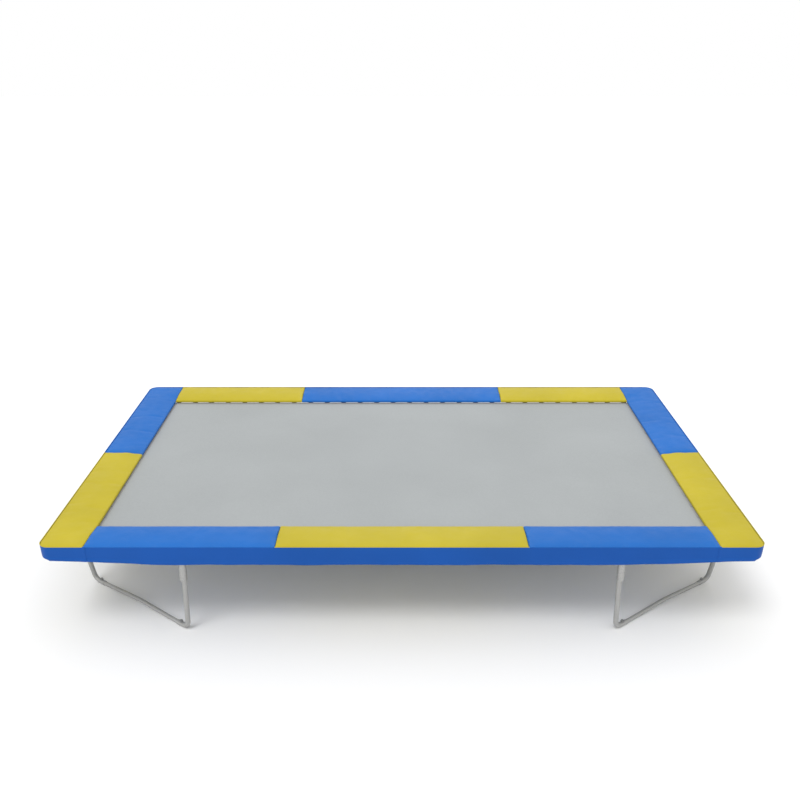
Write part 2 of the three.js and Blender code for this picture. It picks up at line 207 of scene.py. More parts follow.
def frames_along(path, closed):
    """A pair of axes square to the path at each of its points, turned as little as possible."""
    count = len(path)
    tangents = []
    for i in range(count):
        before = path[(i - 1) % count] if closed or i else path[0]
        after = path[(i + 1) % count] if closed or i < count - 1 else path[-1]
        tangents.append((after - before).normalized())
    first = tangents[0].orthogonal().normalized()
    axes = [first]
    for i in range(1, count):
        turn = tangents[i - 1].rotation_difference(tangents[i])
        axis = turn @ axes[-1]
        axes.append((axis - tangents[i] * axis.dot(tangents[i])).normalized())
    return [(a, t.cross(a)) for a, t in zip(axes, tangents)]


def wire(shape, path, radius, sides, closed=False):
    """A round wire along the path, with flat ends unless it is closed."""
    path = [Vector(p) for p in path]
    rows = []
    for p, (a, b) in zip(path, frames_along(path, closed)):
        rows.append([p + (a * math.cos(t) + b * math.sin(t)) * radius for t in angles(sides)])
    start = len(shape.points)
    shape.grid(rows, closed_rows=closed, closed_columns=True)
    if not closed:
        last = start + (len(rows) - 1) * sides
        shape.faces.append(tuple(start + k for k in range(sides)))
        shape.faces.append(tuple(last + k for k in reversed(range(sides))))


def rounded_loop(corners, radius, steps):
    """A closed flat path through these corners, each rounded to an arc."""
    path = []
    count = len(corners)
    for i, corner in enumerate(corners):
        corner = Vector(corner)
        before = (Vector(corners[i - 1]) - corner).normalized()
        after = (Vector(corners[(i + 1) % count]) - corner).normalized()
        half = before.angle(after) / 2
        centre = corner + (before + after).normalized() * radius / math.sin(half)
        start = corner + before * radius / math.tan(half) - centre
        end = corner + after * radius / math.tan(half) - centre
        axis = start.cross(end).normalized()
        turn = start.angle(end)
        for step in range(steps + 1):
            path.append(centre + Quaternion(axis, turn * step / steps) @ start)
    return path


def smoothstep(x):
    x = min(max(x, 0.0), 1.0)
    return x * x * (3 - 2 * x)


def part_way(a, b, share):
    """The plan point this share of the way from a to b."""
    return (a[0] + (b[0] - a[0]) * share, a[1] + (b[1] - a[1]) * share)


# ---------- material helpers ----------


WAVE_UNIT = 20  # Blender's wave texture turns this many radians a metre at scale 1


class Nodes:
    """A material's node tree, and short ways to add to it."""

    def __init__(self, name, roughness, metallic=0.0, specular=0.5):
        self.material = bpy.data.materials.new(name)
        self.material.use_nodes = True
        self.tree = self.material.node_tree
        self.shader = self.tree.nodes["Principled BSDF"]
        self.shader.inputs["Roughness"].default_value = roughness
        self.shader.inputs["Metallic"].default_value = metallic
        self.shader.inputs["Specular IOR Level"].default_value = specular
        self.place = self.tree.nodes.new("ShaderNodeTexCoord").outputs["Object"]

    def link(self, output, node_input):
        self.tree.links.new(output, node_input)

    def node(self, kind, inputs):
        """A new node of this kind, its inputs given as values or as other nodes' outputs."""
        made = self.tree.nodes.new(kind)
        for name, value in inputs.items():
            if isinstance(value, bpy.types.NodeSocket):
                self.link(value, made.inputs[name])
            else:
                made.inputs[name].default_value = value
        return made

    def height(self):
        """The object's Z coordinate."""
        return self.node("ShaderNodeSeparateXYZ", {"Vector": self.place}).outputs["Z"]

    def scaled(self, scale, turn=0.0):
        """The object's coordinates, scaled by three numbers and turned about Z."""
        inputs = {"Scale": scale, "Rotation": (0, 0, turn), "Vector": self.place}
        return self.node("ShaderNodeMapping", inputs).outputs["Vector"]

    def noise(self, scale, detail, vector=None):
        inputs = {"Scale": scale, "Detail": detail, "Vector": vector or self.place}
        return self.node("ShaderNodeTexNoise", inputs).outputs["Fac"]

    def voronoi(self, scale, feature="F1", output="Distance"):
        node = self.node("ShaderNodeTexVoronoi", {"Scale": scale, "Vector": self.place})
        node.feature = feature
        return node.outputs[output]

    def bands(self, direction, period):
        """Waves from 0 to 1 along an axis, this far apart."""
        scale = 2 * math.pi / (WAVE_UNIT * period)
        node = self.node("ShaderNodeTexWave", {"Scale": scale, "Vector": self.place})
        node.bands_direction = direction
        return node.outputs["Fac"]

    def math(self, operation, first, second):
        node = self.node("ShaderNodeMath", {0: first, 1: second})
        node.operation = operation
        return node.outputs[0]

    def weighted(self, *parts):
        """The sum of some values, each times its weight."""
        products = [self.math("MULTIPLY", value, weight) for value, weight in parts]
        total = products[0]
        for product in products[1:]:
            total = self.math("ADD", total, product)
        return total

    def ranged(self, value, low, high, start=0.3, end=0.7):
        """The value, moved from start..end, where most of a noise lies, to low..high."""
        inputs = {"From Min": start, "From Max": end, "To Min": low, "To Max": high, "Value": value}
        return self.node("ShaderNodeMapRange", inputs).outputs["Result"]

    def mixed(self, value, dark, light):
        node = self.node("ShaderNodeMix", {})
        node.data_type = "RGBA"
        self.link(value, node.inputs["Factor"])
        for colour, socket in ((dark, node.inputs["A"]), (light, node.inputs["B"])):
            if isinstance(colour, tuple):
                socket.default_value = (*colour, 1.0)
            else:
                self.link(colour, socket)
        return node.outputs["Result"]

    def colour(self, output):
        self.link(output, self.shader.inputs["Base Color"])

    def roughness(self, output):
        self.link(output, self.shader.inputs["Roughness"])

    def bump(self, height, strength, distance):
        """Adds a bump layer over those already there."""
        inputs = {"Strength": strength, "Distance": distance, "Height": height}
        node = self.node("ShaderNodeBump", inputs)
        normal = self.shader.inputs["Normal"]
        if normal.is_linked:
            self.link(normal.links[0].from_socket, node.inputs["Normal"])
        self.link(node.outputs["Normal"], normal)


def linear(red, green, blue):
    """An sRGB colour, 0 to 255 per channel, as the shaders read it."""
    return tuple(
        c / 12.92 if c <= 0.04045 else ((c + 0.055) / 1.055) ** 2.4
        for c in (red / 255, green / 255, blue / 255)
    )


LIGHT = 1.31  # what the studio light gives a flat white top, against full white
SIDE_LIGHT = 1.12  # and an upright white face
GLOSS = 0.021  # what a matt sheet's sheen adds to each channel
DARKEST = 0.005  # the least that a channel reflects


def fabric(red, green, blue, light=LIGHT):
    """The fabric colour that is seen as this sRGB one in light of this strength."""
    return tuple(max(DARKEST, (c - GLOSS) / light) for c in linear(red, green, blue))


def shade(colour, factor):
    """The colour, made this much lighter."""
    return tuple(min(c * factor, 1.0) for c in colour)


# ---------- materials ----------


def zinc(name, colour, roughness, metallic, spangle, below=None):
    """Galvanised steel: flat crystals of slightly different grey, and fine scuffs. Below
    a height, where one is given, it has another colour."""
    made = Nodes(name, roughness, metallic)
    crystals = made.voronoi(spangle, output="Color")
    clouds = made.noise(scale=9.0, detail=5.0)
    tone = made.weighted((crystals, 0.45), (clouds, 0.55))
    steel = made.mixed(tone, shade(colour, 0.88), shade(colour, 1.08))
    if below:
        height, other = below
        lower = made.math("LESS_THAN", made.height(), height)
        steel = made.mixed(lower, steel, other)
    made.colour(steel)
    scuffs = made.noise(scale=220.0, detail=2.0, vector=made.scaled((1.0, 0.18, 1.0)))
    made.roughness(made.ranged(scuffs, roughness - 0.08, roughness + 0.12))
    made.bump(made.noise(scale=600.0, detail=2.0), strength=0.15, distance=0.0004)
    return made.material


def vinyl(name, colour, roughness):
    """Coated cover fabric: a fine leather grain, soft creases and slightly uneven colour."""
    made = Nodes(name, roughness, specular=0.12)
    patches = made.ranged(made.noise(scale=2.3, detail=4.0), 0, 1)
    made.colour(made.mixed(patches, shade(colour, 0.93), shade(colour, 1.06)))
    wear = made.noise(scale=14.0, detail=4.0)
    made.roughness(made.ranged(wear, roughness - 0.05, roughness + 0.09))
    slanted = made.scaled((1.0, 2.2, 1.0), turn=0.4)
    made.bump(made.noise(scale=26.0, detail=3.0, vector=slanted), strength=0.35, distance=0.0016)
    grain = made.voronoi(scale=700.0, feature="SMOOTH_F1")
    made.bump(grain, strength=0.3, distance=0.0003)
    return made.material


def woven(name, dark, light, thread):
    """Woven mesh of flat threads this wide, with a slight unevenness of its own."""
    made = Nodes(name, roughness=0.8, specular=0.2)
    checks = made.math("MULTIPLY", made.bands("X", 2 * thread), made.bands("Y", 2 * thread))
    clouds = made.noise(scale=1.4, detail=5.0)
    fine = made.noise(scale=90.0, detail=3.0)
    tone = made.weighted((clouds, 0.45), (fine, 0.35), (checks, 0.4))
    made.colour(made.mixed(made.ranged(tone, 0, 1, start=0.2, end=0.85), dark, light))
    made.bump(checks, strength=0.5, distance=0.0003)
    return made.material


def webbing(name, colour):
    """Flat strap, ribbed along and across."""
    made = Nodes(name, roughness=0.82, specular=0.2)
    ribs = made.math("MULTIPLY", made.bands("X", RIB_PITCH), made.bands("Y", RIB_PITCH))
    patches = made.noise(scale=30.0, detail=4.0)
    tone = made.weighted((ribs, 0.4), (patches, 0.6))
    made.colour(made.mixed(tone, shade(colour, 0.84), shade(colour, 1.12)))
    made.bump(ribs, strength=0.4, distance=0.00015)
    return made.material


def sewing_thread(name, colour):
    """A soft sheen and a little unevenness along it."""
    made = Nodes(name, roughness=0.55, specular=0.3)
    patches = made.noise(scale=400.0, detail=2.0)
    made.colour(made.mixed(patches, shade(colour, 0.85), shade(colour, 1.2)))
    made.bump(made.noise(scale=2500.0, detail=1.0), strength=0.3, distance=0.0002)
    return made.material


RAIL_GREY = linear(184, 186, 189)
LEG_GREY = linear(168, 168, 166)
BLUE = fabric(57, 123, 209)
YELLOW = fabric(211, 194, 66)
SKIRT_BLUE = fabric(49, 94, 173, SIDE_LIGHT)
MAT_GREY = fabric(184, 188, 189)
WEBBING_GREY = fabric(179, 180, 180)
MAT_THREAD = 0.003  # how wide the mat's flat threads are
RIB_PITCH = 0.0022  # the webbing's

under_rail = (RAIL_Z - RAIL_RADIUS - 0.001, LEG_GREY)  # the sockets are grey as the legs are
rail_zinc = zinc("rail zinc", RAIL_GREY, 0.3, metallic=0.45, spangle=120.0, below=under_rail)
leg_zinc = zinc("leg zinc", LEG_GREY, 0.48, metallic=0.3, spangle=150.0)
bolt_zinc = zinc("bolt zinc", linear(112, 114, 116), 0.42, metallic=0.5, spangle=400.0)
# painted shade: the dark grey of the flat disks laid in the spring holes, standing for the shadow
# inside the tube
hole_shade_zinc = zinc("hole shade zinc", linear(72, 73, 75), 0.6, metallic=0.2, spangle=400.0)
foot_bolt_zinc = zinc("foot bolt zinc", linear(146, 147, 147), 0.5, metallic=0.4, spangle=400.0)
spring_zinc = zinc("spring zinc", linear(208, 207, 204), 0.28, metallic=0.7, spangle=500.0)
blue_vinyl = vinyl("blue vinyl", BLUE, roughness=0.44)
yellow_vinyl = vinyl("yellow vinyl", YELLOW, roughness=0.44)
skirt_vinyl = vinyl("skirt vinyl", SKIRT_BLUE, roughness=0.42)
mat_weave = woven("mat weave", shade(MAT_GREY, 0.88), shade(MAT_GREY, 1.12), MAT_THREAD)
mat_webbing = webbing("mat webbing", WEBBING_GREY)
THREADS = {
    "blue": sewing_thread("blue thread", shade(BLUE, 1.12)),
    "yellow": sewing_thread("yellow thread", shade(YELLOW, 1.1)),
}
skirt_thread = sewing_thread("skirt thread", shade(SKIRT_BLUE, 1.3))

WELD_DISTANCE = 1e-5
TUBE_EDGE = 40  # degrees: the CAD tubes' own facets turn less
CAD_LOOKS = {
    "rail_steel": rail_zinc,
    "leg_steel": leg_zinc,
    "rail_bolt_steel": bolt_zinc,
    "foot_bolt_steel": foot_bolt_zinc,
}


def dress_cad_parts():
    """Gives each CAD part that stays its material, and smooth shading round its tubes."""
    for row in frame["record"]["subparts"]:
        look = CAD_LOOKS.get(row["material_slot"])
        if look is None:
            continue
        piece = frame["nodes"][row["node"]]
        piece.data.materials.clear()
        piece.data.materials.append(look)
        weld = piece.modifiers.new("weld", "WELD")
        weld.merge_threshold = WELD_DISTANCE
        smooth_by_angle(piece, TUBE_EDGE)


dress_cad_parts()

# ---------- springs ----------

SPRINGS = {"front": 28, "back": 28, "left": 15, "right": 15}
FIRST_SPRING = 0.279  # from the rail's centre line round the corner
COIL_START = 0.036  # from the rail's centre line
COIL_END = 0.188
COIL_RADIUS = 0.0082
COIL_TURNS = 40
TURN_POINTS = 9
END_TURN = 0.15  # how far a coil's first half turn has widened where it starts
WIRE_RADIUS = 0.0016
WIRE_SIDES = 4
RING_APEX = 0.2045  # where the spring's hook holds its ring
RING_BAR = 0.2305  # the ring's bar, inside the webbing tab
RING_HALF = 0.024
RING_CORNER = 0.0035
RING_WIRE = 0.002
RAIL_TOP = RAIL_Z + RAIL_RADIUS - MAT_Z  # above the springs' axes
RAIL_HOOK = (  # from the rail's centre line, and above the rail's top
    (-0.0014, -0.0040), (-0.0009, 0.0004), (0.0012, 0.0020), (0.0050, 0.0020), (0.0095, 0.0003),
    (0.0155, -0.0030), (0.0212, -0.0085), (0.0265, -0.0135), (0.0315, -0.0155),
)
RING_HOOK = (  # from the ring's apex, and above the spring's axis
    (-0.006, 0.0022), (-0.002, 0.0056), (0.003, 0.0052), (0.0058, 0.0),
    (0.003, -0.0052), (-0.002, -0.0052),
)
HOLE_RIM = ((0.0056, -0.0006), (0.0052, 0.0004), (0.0042, 0.0005), (0.0036, -0.0004))
# the flat dark disk over each hole is painted shade, standing for the tube's dark inside
HOLE_SHADE_DISK = ((0.0041, 0.0003), (0.0001, 0.0003))  # radii, and heights above the rail's top


def spring_path():
    """A spring's wire from its hook over the rail to its hook in the ring. The rail's
    centre line is at y = 0, and the coil's axis at z = 0."""
    coil = []
    points = COIL_TURNS * TURN_POINTS
    for i in range(points + 1):
        turn = 2 * math.pi * i / TURN_POINTS
        half_turns = min(i, points - i) / (TURN_POINTS * 0.5)
        radius = COIL_RADIUS * smoothstep(END_TURN + (1 - END_TURN) * half_turns)
        y = COIL_START + (COIL_END - COIL_START) * i / points
        coil.append((radius * math.sin(turn), y, radius * math.cos(turn)))
    rail_hook = [(0, y, RAIL_TOP + z) for y, z in RAIL_HOOK]
    ring_hook = [(0, RING_APEX + y, z) for y, z in RING_HOOK]
    return rail_hook + coil + [(0, COIL_END + 0.004, 0.0008)] + ring_hook


def spring_places(side):
    """Where the springs of one side are along it."""
    half = RAIL_X if side in ("front", "back") else RAIL_Y
    count = SPRINGS[side]
    first = half - FIRST_SPRING
    return [-first + 2 * first * i / (count - 1) for i in range(count)]


def side_matrix(side):
    """From a side's own axes, with its rail along X at y = 0 and the mat towards +Y, to
    the frame's."""
    turn = {"front": 0, "right": 90, "back": 180, "left": 270}[side]
    distance = RAIL_Y if side in ("front", "back") else RAIL_X
    return Matrix.Rotation(math.radians(turn), 4, "Z") @ Matrix.Translation((0, -distance, MAT_Z))


def repeat(shape, template, side):
    """Adds the template at each spring of a side, in the frame's axes."""
    points = [Vector(p) for p in template.points]
    for x in spring_places(side):
        matrix = side_matrix(side) @ Matrix.Translation((x, 0, 0))
        shape.add([matrix @ p for p in points], template.faces)


def make_springs():
    """The springs, one piece a side."""
    template = Shape()
    wire(template, spring_path(), WIRE_RADIUS, WIRE_SIDES)
    for side in SPRINGS:
        shape, matrix = Shape(), side_matrix(side)
        repeat(shape, template, side)
        piece = shape.object(f"spring_coils_{side}", spring_zinc)
        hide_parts(f"springs_{side}")
        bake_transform(piece)


def make_rings():
    """The wire triangles that join the springs to the mat's tabs."""
    template = Shape()
    corners = [(0, RING_APEX - RING_WIRE, 0), (RING_HALF, RING_BAR, 0), (-RING_HALF, RING_BAR, 0)]
    wire(template, rounded_loop(corners, RING_CORNER, 4), RING_WIRE, 6, closed=True)
    shape = Shape()
    for side in SPRINGS:
        repeat(shape, template, side)
    piece = shape.object("mat_rings", spring_zinc)
    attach(piece, "jump_mat")


def dished(rings, sides=12):
    """A skin over level circles round the rail's top, each of a radius and a height."""
    shape = Shape()
    shape.grid(
        [
            [(radius * math.cos(t), radius * math.sin(t), RAIL_TOP + height) for t in angles(sides)]
            for radius, height in rings
        ],
        closed_columns=True,
    )
    return shape


def make_spring_holes():
    """The punched, slightly dished holes in the rail's top that the hooks enter, each with a flat
    dark disk laid in it: painted shade for the dark inside of the tube.
    """
    for name, rings, look in (
        ("spring_hole_rims", HOLE_RIM, bolt_zinc),
        ("spring_hole_painted_shade", HOLE_SHADE_DISK, hole_shade_zinc),
    ):
        shape = Shape()
        for side in SPRINGS:
            repeat(shape, dished(rings), side)
        piece = recalculated(shape.object(name, look))
        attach(piece, "frame")


# ---------- mat ----------

MAT_THICK = 0.0016
MAT_SAG = 0.004
MAT_INSET = 0.002  # the sheet ends this far in from the mat's edge
MAT_CELLS = (122, 68)
BORDER_WIDTH = 0.038
SIDE_BORDER = 0.8  # how wide the strap lies at the short sides, as a share of that
BORDER_THICK = 0.0042
BORDER_CROWN = 0.0003  # each face bulges by this
BORDER_STEPS = 40  # along each side
TAB_INNER = 0.026  # how far a tab runs in over the border
TAB_OUTER_HALF = 0.0195
TAB_HALF = 0.0205
TAB_THICK = 0.0012
TAB_CROSSING = 0.0002  # between two tabs that cross
TAB_SLACK = 0.0004  # between a tab and its ring's bar
TAB_FOLD = 0.004  # past the mat's edge, where a tab's two ends part
TAB_EDGE = 50  # degrees; the shading keeps sharper edges


def make_mat():
    """The woven sheet, which sags hardly at all."""
    columns, rows = MAT_CELLS
    half_x, half_y = MAT_X - MAT_INSET, MAT_Y - MAT_INSET
    across = [-1 + 2 * i / columns for i in range(columns + 1)]
    down = [-1 + 2 * j / rows for j in range(rows + 1)]
    grid = [
        [(u * half_x, v * half_y, MAT_Z - MAT_SAG * (1 - u * u) * (1 - v * v)) for u in across]
        for v in down
    ]
    shape = thin_shell(grid, [MAT_THICK] * len(grid))
    piece = recalculated(shape.object("mat_sheet", mat_weave))
    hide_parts("jump_mat")
    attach(piece, "jump_mat")
    return piece


def make_border():
    """The strap that is folded over the mat's edge and sewn down. Its section's points
    are insets from the mat's edge, and heights."""
    inner, fold = BORDER_WIDTH, 0.0012
    half = BORDER_THICK / 2
    upper = [
        (inner, MAT_THICK / 2 - 0.0003),
        (inner - 0.0006, half - 0.0004),
        (inner - 0.002, half),
        (inner * 0.5, half + BORDER_CROWN),
        (0.003, half),
        (fold - 0.0006, half * 0.6),
    ]
    section = upper + [(fold, 0)] + [(inset, -z) for inset, z in reversed(upper)]
    rings = []
    for a, b in zip(SQUARE, SQUARE[1:] + SQUARE[:1]):
        for i in range(BORDER_STEPS):
            u, v = part_way(a, b, i / BORDER_STEPS)
            across_x = math.copysign(SIDE_BORDER, u) * (abs(u) == 1)
            across_y = math.copysign(1, v) * (abs(v) == 1)
            rings.append(
                [(u * MAT_X - inset * across_x, v * MAT_Y - inset * across_y, MAT_Z + z)
                 for inset, z in section]
            )
    shape = Shape()
    shape.grid(rings, closed_rows=True, closed_columns=True)
    piece = recalculated(shape.object("mat_border", mat_webbing))
    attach(piece, "jump_mat")
    return piece


def tab_template(raise_by):
    """One webbing tab, folded round its ring's bar and lying this much above and below
    the border."""
    template = Shape()
    bend = RING_WIRE + TAB_SLACK
    inner_end, fold = MAT_GAP + TAB_INNER, MAT_GAP + TAB_FOLD
    border_top = BORDER_THICK / 2 + BORDER_CROWN + raise_by

    def half_section(offset):
        reach, high = bend + offset, border_top + offset
        turns = [math.pi / 2 + math.pi * k / 6 for k in range(7)]
        round_bar = [(RING_BAR + reach * math.cos(t), reach * math.sin(t)) for t in turns]
        return [(inner_end, high), (fold, high), *round_bar, (fold, -high), (inner_end, -high)]

    outside = half_section(TAB_THICK)
    inside = list(reversed(half_section(0)))
    loop = outside + inside

    def half_width(y):
        wide = smoothstep((y - RING_BAR + bend) / (MAT_GAP - RING_BAR + bend))
        return TAB_OUTER_HALF + (TAB_HALF - TAB_OUTER_HALF) * wide

    shares = (-1, -0.5, 0, 0.5, 1)
    columns = [[(share * half_width(y), y, z) for y, z in loop] for share in shares]
    template.grid(columns, closed_columns=True)
    count, last = len(outside), (len(shares) - 1) * len(loop)
    for base, order in ((0, 1), (last, -1)):
        for i in range(count - 1):
            face = (base + i, base + i + 1, base + 2 * count - 2 - i, base + 2 * count - 1 - i)
            template.faces.append(face[::order])
    return template


def make_tabs():
    """All the tabs, those of the short sides over the others at the mat's corners."""
    shape = Shape()
    for side in SPRINGS:
        over = TAB_THICK + TAB_CROSSING if side in ("left", "right") else 0.0
        repeat(shape, tab_template(over), side)
    piece = recalculated(shape.object("mat_tabs", mat_webbing))
    smooth_by_angle(piece, TAB_EDGE)
    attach(piece, "jump_mat")
    return piece


make_springs()
make_rings()
make_spring_holes()
mat_sheet = make_mat()
mat_border = make_border()
mat_tabs = make_tabs()

# ---------- padded cover ----------

PANEL_CELL = 0.024
PANEL_SINK = 0.005  # the fabric starts this far under the CAD slab's top, and swells
PANEL_SWELL = 0.007  # no point moves further
SLAB_INSET = COVER_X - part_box("cover_right_front")[1].x  # the slabs' outer edge
COVER_CORNER = 0.07  # its radius in the plan
SLAB_CORNER = COVER_CORNER - SLAB_INSET
INNER_DROOP = 0.0115
DROOP_START = 0.15  # in from the cover's outer edge
DROOP_WIDTH = 0.14
EDGE_ROUND = {"outer": 0.005, "inner": 0.012, "seam": 0.009}
BOTTOM_ROUND = 0.004
HOOK_ROOM = 0.0035  # the pads' undersides lie this much higher than the CAD slabs'
EDGE_STEPS = (0.0, 0.06, 0.3, 0.7, 1.0)  # shares of an edge's rounding
CROWN = ((0.0008, 9.1, 4.3), (0.0006, 23.0, -17.0))  # waves' sizes, and radians a metre
SEWN = 0.45  # the sewing holds the fabric this near an edge, as a share of its rounding
EDGE_NEAR = 0.003
SEAM_CLEAR = 0.03
CLOTH_FRAMES = 20
PAD_EDGES = ("x0", "x1", "y0", "y1")
VINYLS = {
    "blue": (blue_vinyl, "vinyl_blue"),
    "yellow": (yellow_vinyl, "vinyl_yellow"),
}
PANEL_COLOURS = {
    "front_left": "blue", "front_middle": "yellow", "front_right": "blue",
    "back_left": "yellow", "back_middle": "blue", "back_right": "yellow",
    "left_front": "yellow", "left_back": "blue",
    "right_front": "yellow", "right_back": "blue",
}


def droop(x, y):
    """How far the cover hangs down here: it sinks from the rail to the mat's border."""
    from_edge = min(COVER_X - abs(x), COVER_Y - abs(y))
    return INNER_DROOP * smoothstep((from_edge - DROOP_START) / DROOP_WIDTH)


def grid_lines(start, end, first_round, last_round):
    """Positions from start to end, closer together where the edges are rounded."""
    left = [start + first_round * share for share in EDGE_STEPS]
    right = [end - last_round * share for share in reversed(EDGE_STEPS)]
    cells = max(2, round((right[0] - left[-1]) / PANEL_CELL))
    step = (right[0] - left[-1]) / cells
    return left + [left[-1] + step * k for k in range(1, cells)] + right


class Panel:
    """One padded slab of the cover, from the box of the CAD slab it stands for."""

    def __init__(self, place):
        self.place = place
        self.node = f"cover_{place}"
        self.low, self.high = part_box(self.node)
        self.is_side = place.startswith(("left", "right"))
        self.kinds = dict.fromkeys(PAD_EDGES, "seam")
        self.corner = None
        front = "front" in place
        self.kinds["y0" if front else "y1"] = "outer"
        if self.is_side:
            self.kinds["x0" if self.low.x < 0 else "x1"] = "outer"
            self.corner = (math.copysign(1, self.low.x), -1 if front else 1)
        else:
            self.kinds["y1" if front else "y0"] = "inner"

    def rounding(self, x, y, radii):
        """How far the top lies below its flat middle at this point of the plan, and how
        near the point is to the edge, from 0 to 1."""
        total, weighted = 0.0, 0.0
        distances = (x - self.low.x, self.high.x - x, y - self.low.y, self.high.y - y)
        for distance, key in zip(distances, PAD_EDGES):
            near = max(0.0, 1 - distance / radii[key]) ** 2
            total += near
            weighted += near * radii[key]
        if total == 0:
            return 0.0, 0.0
        near = min(1.0, total)
        return weighted / total * (1 - math.sqrt(1 - near)), near

    def plan(self, x, y):
        """The point's place once the cover's corner is rounded."""
        if self.corner is None:
            return x, y
        sign_x, sign_y = self.corner
        centre_x = sign_x * (COVER_X - SLAB_INSET - SLAB_CORNER)
        centre_y = sign_y * (COVER_Y - SLAB_INSET - SLAB_CORNER)
        a = (x - centre_x) * sign_x / SLAB_CORNER
        b = (y - centre_y) * sign_y / SLAB_CORNER
        if a <= 0 or b <= 0:
            return x, y
        return (
            centre_x + sign_x * SLAB_CORNER * a * math.sqrt(max(0.0, 1 - b * b / 2)),
            centre_y + sign_y * SLAB_CORNER * b * math.sqrt(max(0.0, 1 - a * a / 2)),
        )

    def build(self):
        """The closed slab, and the indices of its points that the sewing holds."""
        top_radii = {key: EDGE_ROUND[kind] for key, kind in self.kinds.items()}
        bottom_radii = dict.fromkeys(PAD_EDGES, BOTTOM_ROUND)
        xs = grid_lines(self.low.x, self.high.x, top_radii["x0"], top_radii["x1"])
        ys = grid_lines(self.low.y, self.high.y, top_radii["y0"], top_radii["y1"])
        top, bottom = COVER_TOP - PANEL_SINK, COVER_BOTTOM + HOOK_ROOM
        points, held = [], []
        for y in ys:
            for x in xs:
                drop, near = self.rounding(x, y, top_radii)
                crown = sum(size * math.sin(a * x + b * y) for size, a, b in CROWN)
                if near > SEWN:
                    held.append(len(points))
                height = top - drop + crown * (1 - near) - droop(x, y)
                points.append((*self.plan(x, y), height))
        count = len(points)
        for y in ys:
            for x in xs:
                rise, _ = self.rounding(x, y, bottom_radii)
                held.append(len(points))
                points.append((*self.plan(x, y), bottom + rise - droop(x, y)))
        faces, rim = two_skins(len(ys), len(xs))
        middle = len(points)
        for n in rim:
            upper, lower = Vector(points[n]), Vector(points[count + n])
            held.append(len(points))
            points.append(tuple((upper + lower) / 2))
        for k, here in enumerate(rim):
            after = rim[(k + 1) % len(rim)]
            m, m_after = middle + k, middle + (k + 1) % len(rim)
            faces.append((after, here, m, m_after))
            faces.append((m_after, m, count + here, count + after))
        free = self.inner_edge_points(points, rim, middle)
        shape = Shape()
        shape.add(points, faces)
        material, slot = VINYLS[PANEL_COLOURS[self.place]]
        piece = recalculated(shape.object(f"pad_{self.place}", material))
        return piece, [n for n in held if n not in free]

    def inner_edge_points(self, points, rim, middle):
        """The points of the wall over the mat, away from the seams: they are free."""
        free = set()
        for k, n in enumerate(rim):
            for index in (n, middle + k):
                x, y, _ = points[index]
                if self.is_side:
                    from_edge = abs(abs(x) - INNER_X)
                    from_seam = min(abs(y), INNER_Y - abs(y))
                else:
                    from_edge = abs(abs(y) - INNER_Y)
                    from_seam = min(x - self.low.x, self.high.x - x)
                if from_edge < EDGE_NEAR and from_seam > SEAM_CLEAR:
                    free.add(index)
        return free


def swell(pieces_and_held):
    """Lets the fabric swell as cloth under a little pressure, all pieces at once."""
    scene = bpy.context.scene
    cloths = []
    for piece, held in pieces_and_held:
        group = piece.vertex_groups.new(name="held")
        group.add(held, 1.0, "REPLACE")
        modifier = piece.modifiers.new("cloth", "CLOTH")
        settings = modifier.settings
        settings.vertex_group_mass = "held"
        settings.quality = 6
        settings.mass = 0.4
        settings.tension_stiffness = 12
        settings.compression_stiffness = 12
        settings.shear_stiffness = 6
        settings.bending_stiffness = 0.8
        settings.use_pressure = True
        settings.uniform_pressure_force = 4.0
        settings.shrink_min = -0.012
        settings.effector_weights.gravity = 0.0
        modifier.point_cache.frame_start = 1
        modifier.point_cache.frame_end = CLOTH_FRAMES
        cloths.append(modifier)
    for number in range(1, CLOTH_FRAMES + 1):
        scene.frame_set(number)
    graph = bpy.context.evaluated_depsgraph_get()
    for (piece, _), modifier in zip(pieces_and_held, cloths):
        moved = [v.co.copy() for v in piece.evaluated_get(graph).data.vertices]
        piece.modifiers.remove(modifier)
        for vertex, place in zip(piece.data.vertices, moved):
            move = place - vertex.co
            if move.length > 1e-7:
                move *= PANEL_SWELL * math.tanh(move.length / PANEL_SWELL) / move.length
            vertex.co += move
        piece.vertex_groups.clear()
    scene.frame_set(1)


def make_pads():
    """The ten padded panels, each kept with its piece."""
    made, work = {}, []
    for place in PANEL_COLOURS:
        panel = Panel(place)
        piece, held = panel.build()
        made[place] = (panel, piece)
        work.append((piece, held))
    swell(work)
    for panel, piece in made.values():
        rounder = piece.modifiers.new("rounder", "SUBSURF")
        rounder.levels = rounder.render_levels = 1
        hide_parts(panel.node)
        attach(piece, "cover")
    return made


BEND_STEPS = 8  # round each of the cover's corners
SEAMS = {  # where each panel's outer edge starts, going round anticlockwise
    "front_left": (-INNER_X, -COVER_Y), "front_middle": (-FRONT_SEAM, -COVER_Y),
    "front_right": (FRONT_SEAM, -COVER_Y), "right_front": (INNER_X, -COVER_Y),
    "right_back": (COVER_X, 0), "back_right": (INNER_X, COVER_Y),
    "back_middle": (BACK_SEAM, COVER_Y), "back_left": (-BACK_SEAM, COVER_Y),
    "left_back": (-INNER_X, COVER_Y), "left_front": (-COVER_X, 0),
}


